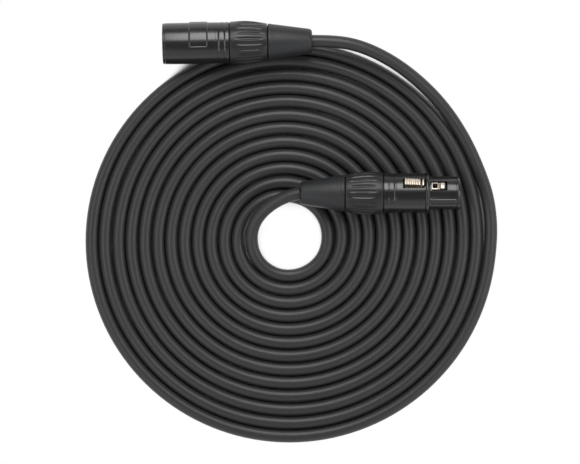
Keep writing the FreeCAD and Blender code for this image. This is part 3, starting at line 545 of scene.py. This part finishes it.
def make_female_shell():
    outline = eased([
        (6.4, 0, 0), (7.5, 0, 0.15), (7.74, 0.35, 0.1), (7.97, 0.95, 0.06), (7.97, 1.35, 0.06),
        (7.6, 1.45, 0.04), (7.6, 1.9, 0.04), (NOSE_RADIUS, NOSE_FRONT, 0.04), (NOSE_RADIUS, NOSE_REAR, 0.15),
        (9.75, NOSE_REAR, 0.95), (9.75, 16.3, 1.0), (9.25, 16.3, 0), (9.25, 28.9, 0.1), (9.16, 29.5, 0.3),
        (9.25, 30.1, 0.1), (9.25, 30.45, 0.06), (9.05, 30.95, 0.03), (9.25, 31.05, 0.06), (9.25, 32.0, 0.2),
        (9.1, 32.8, 0.4), (9.25, 33.6, 0.2), (9.25, 35.5, 0.06), (8.8, 35.85, 0), (8.7, 35.85, 0),
        (8.7, 45.35, 0), (7.7, 45.35, 0), (7.7, 15.2, 0), (6.4, 15.2, 0)])
    tube = turned("female_shell_cast", FEMALE, outline, FEMALE_SHELL_SIDES, ridge_shape)
    window = slab("window", FEMALE, [(3.2, 16.25), (10.9, 16.25), (10.9, 26.8), (3.2, 26.8)], -2.65, 2.65)
    slot = slab("slot", FEMALE, [(3.2, 6.0), (8.9, 6.0), (8.9, 13.75), (3.2, 13.75)], -2.85, 1.95)
    keyway = slab("keyway", FEMALE, [(7.45, -1), (8.8, -1), (8.8, 13.6), (7.45, 13.6)], -1.2, 1.2,
                  turn=KEYWAY_TURN)
    return carved(tube, [window, slot, keyway])


# The latch: a bar with the hook in the nose's slot, the ribbed button in the body's window and an eye behind,
# which turns on the pin. The ribs climb towards the rear.
BUTTON_FRONT, BUTTON_REAR = 16.95, 26.0
BUTTON_LOW, BUTTON_HIGH = -1.15, 2.1
RIBS, RIBS_FRONT, RIB_HEIGHT = 7, 18.75, 0.6
RIBS_LEVEL, RIB_CLIMB = 9.6, 0.11
PIN_RADIUS, PIN_HEIGHT = 5.15, 31
EYE_RADIUS, HOLE_RADIUS = 1.15, 0.66


def make_latch():
    plate = slab("female_latch_bar", FEMALE, [
        (4.7, 6.5), (5.7, 6.5), (6.7, 7.3), (6.7, 9.9), (7.3, 10.35), (7.3, 13.35), (4.7, 13.35)],
        -2.1, 1.45, ease=0.06)
    pocket = slab("pocket", FEMALE, [(4.4, 10.6), (9, 10.6), (9, 12.95), (4.4, 12.95)], -1.65, 1.0)
    hook = slab("hook", FEMALE, [
        (5.5, 6.6), (7.6, 7.1), (8.05, 7.5), (8.05, 9.1), (6.65, 9.93), (5.5, 9.9)],
        -2.07, 0.92, ease=0.1)
    bar = slab("bar", FEMALE, [(4.75, 13.2), (5.5, 13.2), (5.5, 31.6), (4.75, 31.6)], -2.0, -0.85)
    top = [(5.2, BUTTON_FRONT), (9.5, BUTTON_FRONT), (9.5, 17.6), (6.6, 18.08), (9.4, 18.55)]
    rib = (BUTTON_REAR - RIBS_FRONT) / RIBS
    for number in range(RIBS):
        start = RIBS_FRONT + rib * number
        level = RIBS_LEVEL + RIB_CLIMB * number
        top += [(level - RIB_HEIGHT, start), (level, start + rib * 0.3), (level, start + rib * 0.7)]
    top += [(10.0, BUTTON_REAR), (5.2, BUTTON_REAR)]
    button = slab("button", FEMALE, top, BUTTON_LOW, BUTTON_HIGH, ease=0.06)
    sideways = Matrix.Translation((PIN_RADIUS, 0, PIN_HEIGHT)) @ Matrix.Rotation(math.radians(90), 4, "X")
    inner = HOLE_RADIUS - 0.01
    ring = eased([(inner, -2, 0), (EYE_RADIUS, -2, 0), (EYE_RADIUS, 2, 0), (inner, 2, 0)])
    eye = turned("eye", FEMALE @ sideways, ring, EYE_SIDES)
    bore = []
    for step in range(HOLE_SIDES):
        angle = 2 * math.pi * step / HOLE_SIDES
        bore.append((PIN_RADIUS + HOLE_RADIUS * math.cos(angle), PIN_HEIGHT + HOLE_RADIUS * math.sin(angle)))
    hole = slab("hole", FEMALE, bore, -3, 3)
    return carved(carved(plate, [hook, bar, eye, button], "UNION"), [hole, pocket])


# The leaf spring: flat on the floor of the insert's channel as far as its bend, then up to the latch's
# underside.
LEAF_FLOOR, LEAF_THICKNESS, LEAF_HALF_WIDTH = 2.8, 0.25, 1.2
LEAF_FRONT, LEAF_BEND, LEAF_REAR, LEAF_TIP = 14, 23.5, 26, 4.65


def make_leaf():
    top = LEAF_FLOOR + LEAF_THICKNESS
    return slab("female_latch_leaf", FEMALE, [
        (LEAF_FLOOR, LEAF_REAR), (top, LEAF_REAR), (top, LEAF_BEND + 0.12), (LEAF_TIP, LEAF_FRONT),
        (LEAF_TIP - LEAF_THICKNESS, LEAF_FRONT), (LEAF_FLOOR, LEAF_BEND)], -LEAF_HALF_WIDTH, LEAF_HALF_WIDTH)


# Back nut: a barrel with hollow flutes that run out before its smooth front band and its rear lip.
BELLY_RADIUS, FRONT_DROP, REAR_DROP, BELLY_AT = 10.1, 0.38, 1.4, 0.4
NUT_THREAD_LENGTH = 10.5
NUT_STEPS, SIDES_PER_FLUTE = 36, 16

# Each flute takes this share of its place round the nut, and deepens and runs out between these shares of the
# nut's length.
FLUTES, FLUTE_DEPTH, FLUTE_SHARE = 24, 0.42, 0.62
FLUTE_DEEPENS, FLUTE_RUNS_OUT = (0.08, 0.4), (0.7, 0.95)


def nut_radius(share):
    """The barrel's radius at a share of the nut's length."""
    if share < BELLY_AT:
        return BELLY_RADIUS - FRONT_DROP * (1 - share / BELLY_AT) ** 2
    return BELLY_RADIUS - REAR_DROP * ((share - BELLY_AT) / (1 - BELLY_AT)) ** 1.5


def make_nut(name, place, front, first_flute):
    rear = front + NUT_LENGTH
    outline = [(8.75, front, 0), (9.3, front, 0), (nut_radius(0), front + 0.15, 0.1)]
    for step in range(1, NUT_STEPS):
        share = step / NUT_STEPS
        outline.append((nut_radius(share), front + NUT_LENGTH * share, 0))
    outline += [
        (nut_radius(1), rear, 0.12), (6.75, rear, 0), (6.75, rear - 2, 0), (7.85, rear - 2, 0),
        (7.85, front + NUT_THREAD_LENGTH, 0), (8.75, front + NUT_THREAD_LENGTH, 0)]

    def fluted(radius, height, angle):
        share = (height - front) / NUT_LENGTH
        if radius < nut_radius(min(max(share, 0), 1)) - 0.05:
            return radius
        deep = smooth(*FLUTE_DEEPENS, share) * (1 - smooth(*FLUTE_RUNS_OUT, share))
        aside = math.remainder(angle - math.radians(first_flute), 2 * math.pi / FLUTES)
        aside *= FLUTES / math.pi / FLUTE_SHARE
        return radius - FLUTE_DEPTH * max(deep - aside * aside, 0)

    return turned(name, place, eased(outline), FLUTES * SIDES_PER_FLUTE, fluted)


# Boot: a flange and neck held in the nut, two faint rings, and a tapered sleeve whose bore opens like a bell,
# so that the bent cable has room when the boot slides back.
BOOT_LENGTH, BOOT_GAP, BOOT_RADIUS = 20.4, 0.7, 8.6
BOOT_BORE, BELL_LENGTH = 3.1, 5
FLANGE_INSET, FLANGE_THICKNESS = 2.15, 2
BOOT_RINGS = (1.6, 2.9)


def make_boot(name, place, front, end_radius, shoulder, mouth):
    lip = front + NUT_LENGTH - FLANGE_INSET
    start = front + NUT_LENGTH + BOOT_GAP
    end = start + BOOT_LENGTH

    def sleeve(distance):
        return BOOT_RADIUS + (end_radius - BOOT_RADIUS) * distance / BOOT_LENGTH

    outline = [
        (BOOT_BORE, lip - FLANGE_THICKNESS, 0), (7.7, lip - FLANGE_THICKNESS, 0), (7.7, lip, 0),
        (6.6, lip, 0), (6.6, start - 0.65, 0), (7.5, start - 0.64, 0), (8.45, start - 0.16, 0),
        (BOOT_RADIUS, start + 0.02, 0.06)]
    for ring in BOOT_RINGS:
        dip = sleeve(ring) - 0.1
        outline += [(sleeve(ring), start + ring, 0.1), (dip, start + ring + 0.3, 0.1),
                    (dip, start + ring + 0.6, 0.1), (sleeve(ring + 0.9), start + ring + 0.9, 0.1)]
    outline += [(end_radius, end, shoulder), (mouth, end, 0.1), (BOOT_BORE, end - BELL_LENGTH, 0)]
    return turned(name, place, eased(outline), BOOT_SIDES)


own_piece(make_male_shell(), "black_metal", "root", "male_shell")
own_piece(make_female_shell(), "black_metal", "root", "female_shell")
own_piece(make_latch(), "latch_metal", "latch", "female_latch")

# The leaf spring gets a mesh of its own. In the real connector it is pressed towards the channel's floor as the
# latch goes down.
leaf = own_piece(make_leaf(), "spring_steel", "root", "female_latch_spring")
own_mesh(leaf)

male_nut = make_nut("male_nut_fluted", MALE, MALE_NUT_FRONT, first_flute=42.5)
female_nut = make_nut("female_nut_fluted", FEMALE, FEMALE_NUT_FRONT, first_flute=4)
male_boot = make_boot("male_boot_sleeve", MALE, MALE_NUT_FRONT, end_radius=5.65, shoulder=1.6, mouth=3.9)
female_boot = make_boot("female_boot_sleeve", FEMALE, FEMALE_NUT_FRONT, end_radius=5.35, shoulder=0.9,
                        mouth=4.3)
own_piece(male_nut, "nut_plastic", "male_nut_body", "male_back_nut")
own_piece(female_nut, "nut_plastic", "female_nut_body", "female_back_nut")
own_piece(male_boot, "boot_rubber", "male_boot_body", "male_boot")
own_piece(female_boot, "boot_rubber", "female_boot_body", "female_boot")

cable.data.materials.append(finishes["cable_jacket"])
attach(cable, "root")
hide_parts("cable_coil", "cable_lead_male", "cable_lead_female")


# Floor, lamps and background. The floor reaches this many metres to each side.

FLOOR_HALF = 4


def make_floor():
    """A white floor. The camera sees it pure white, except close to the cable, where its real shadow stays;
    there its colour is also darkened by painted shade, which is darkest in the gaps between the turns.
    """
    mesh = bpy.data.meshes.new("floor")
    corners = [(x * FLOOR_HALF, y * FLOOR_HALF, 0) for x, y in ((-1, -1), (1, -1), (1, 1), (-1, 1))]
    mesh.from_pydata(corners, [], [(0, 1, 2, 3)])
    material = bpy.data.materials.new("white_floor_painted_shade")
    material.use_nodes = True
    tree = material.node_tree
    tree.nodes.clear()
    open_sky = add_node(tree, "AmbientOcclusion", {"Distance": 60 * MM, "samples": 16})
    # Painted shade: the floor's own colour falls from white to nearly black as the cable closes round it,
    # darkest in the gaps between the turns.
    between = add_node(tree, "MapRange", {"From Min": 0.1, "From Max": 0.5, "To Min": 0.02, "To Max": 0.9},
                       Value=open_sky.outputs["AO"])
    painted_shade_floor = add_node(tree, "BsdfDiffuse", Color=between.outputs["Result"])
    glow = add_node(tree, "Emission", {"Color": colour("#ffffff"), "Strength": 1.0})
    ray = add_node(tree, "LightPath").outputs
    clear = add_node(tree, "MapRange", {"interpolation_type": "SMOOTHSTEP", "From Min": 0.2, "From Max": 0.5},
                     Value=open_sky.outputs["AO"])
    mirrored = add_node(tree, "Math", {"operation": "ADD", "use_clamp": True})
    tree.links.new(ray["Is Glossy Ray"], mirrored.inputs[0])
    tree.links.new(ray["Is Transmission Ray"], mirrored.inputs[1])
    either = add_node(tree, "Math", {"operation": "ADD", "use_clamp": True})
    tree.links.new(ray["Is Camera Ray"], either.inputs[0])
    tree.links.new(mirrored.outputs["Value"], either.inputs[1])
    seen = add_node(tree, "Math", {"operation": "MULTIPLY"})
    tree.links.new(either.outputs["Value"], seen.inputs[0])
    tree.links.new(clear.outputs["Result"], seen.inputs[1])
    mix = add_node(tree, "MixShader", Fac=seen.outputs["Value"])
    tree.links.new(painted_shade_floor.outputs["BSDF"], mix.inputs[1])
    tree.links.new(glow.outputs["Emission"], mix.inputs[2])
    add_node(tree, "OutputMaterial", Surface=mix.outputs["Shader"])
    floor = add_piece("floor", mesh, material)


# Soft boxes round the coil, all at one distance in metres: the angle that each stands at, how far it leans from
# the vertical, its width and depth in metres, and the part that it gives of the light on a level surface.
LAMP_DISTANCE = 0.75
LAMPS = (
    (90, 40, 0.36, 0.5, 0.4),
    (180, 39, 0.42, 0.24, 0.11),
    (0, 47, 0.42, 0.28, 0.12),
    (45, 42, 0.22, 0.22, 0.05),
    (225, 45, 0.22, 0.22, 0.05),
    (315, 45, 0.22, 0.22, 0.045),
    (135, 42, 0.22, 0.22, 0.02))


def make_lamp(towards, tilt, width, depth, part):
    lamp = bpy.data.lights.new("soft_box_%d" % towards, "AREA")
    lamp.shape = "RECTANGLE"
    lamp.size, lamp.size_y = width, depth
    lean = math.radians(tilt)
    lamp.energy = part * (math.pi * LAMP_DISTANCE) ** 2 / math.cos(lean)
    box = bpy.data.objects.new(lamp.name, lamp)
    box.location = (compass(towards) * math.sin(lean) + UP * math.cos(lean)) * LAMP_DISTANCE
    box.rotation_mode = "QUATERNION"
    box.rotation_quaternion = box.location.to_track_quat("Z", "Y")
    bpy.context.scene.collection.objects.link(box)


def make_world():
    """The room: pale walls low down, palest on the side below the photograph, and dark overhead."""
    world = bpy.data.worlds.new("studio")
    bpy.context.scene.world = world
    world.use_nodes = True
    tree = world.node_tree
    tree.nodes.clear()
    place = add_node(tree, "TexCoord")
    split = add_node(tree, "SeparateXYZ", Vector=place.outputs["Generated"])
    height = add_node(tree, "MapRange", {"From Min": 0.2, "From Max": 0.7, "To Min": 0.8, "To Max": 0.2},
                      Value=split.outputs["Z"])
    side = add_node(tree, "MapRange", {"From Min": -0.3, "From Max": 0.5, "To Min": 1.0, "To Max": 0.45},
                    Value=split.outputs["Y"])
    wall = add_node(tree, "MapRange", {"From Min": -0.57, "From Max": -0.7, "To Min": 0.0, "To Max": 0.64},
                    Value=split.outputs["Y"])
    away = add_node(tree, "Math", {"operation": "MULTIPLY"})
    tree.links.new(height.outputs["Result"], away.inputs[0])
    tree.links.new(side.outputs["Result"], away.inputs[1])
    strength = add_node(tree, "Math", {"operation": "MAXIMUM"})
    tree.links.new(away.outputs["Value"], strength.inputs[0])
    tree.links.new(wall.outputs["Result"], strength.inputs[1])
    room = add_node(tree, "Background", {"Color": (1, 1, 1, 1)}, Strength=strength.outputs["Value"])
    add_node(tree, "OutputWorld", Surface=room.outputs["Background"])


make_floor()
for lamp_row in LAMPS:
    make_lamp(*lamp_row)
make_world()
bpy.context.scene.view_settings.view_transform = "Standard"
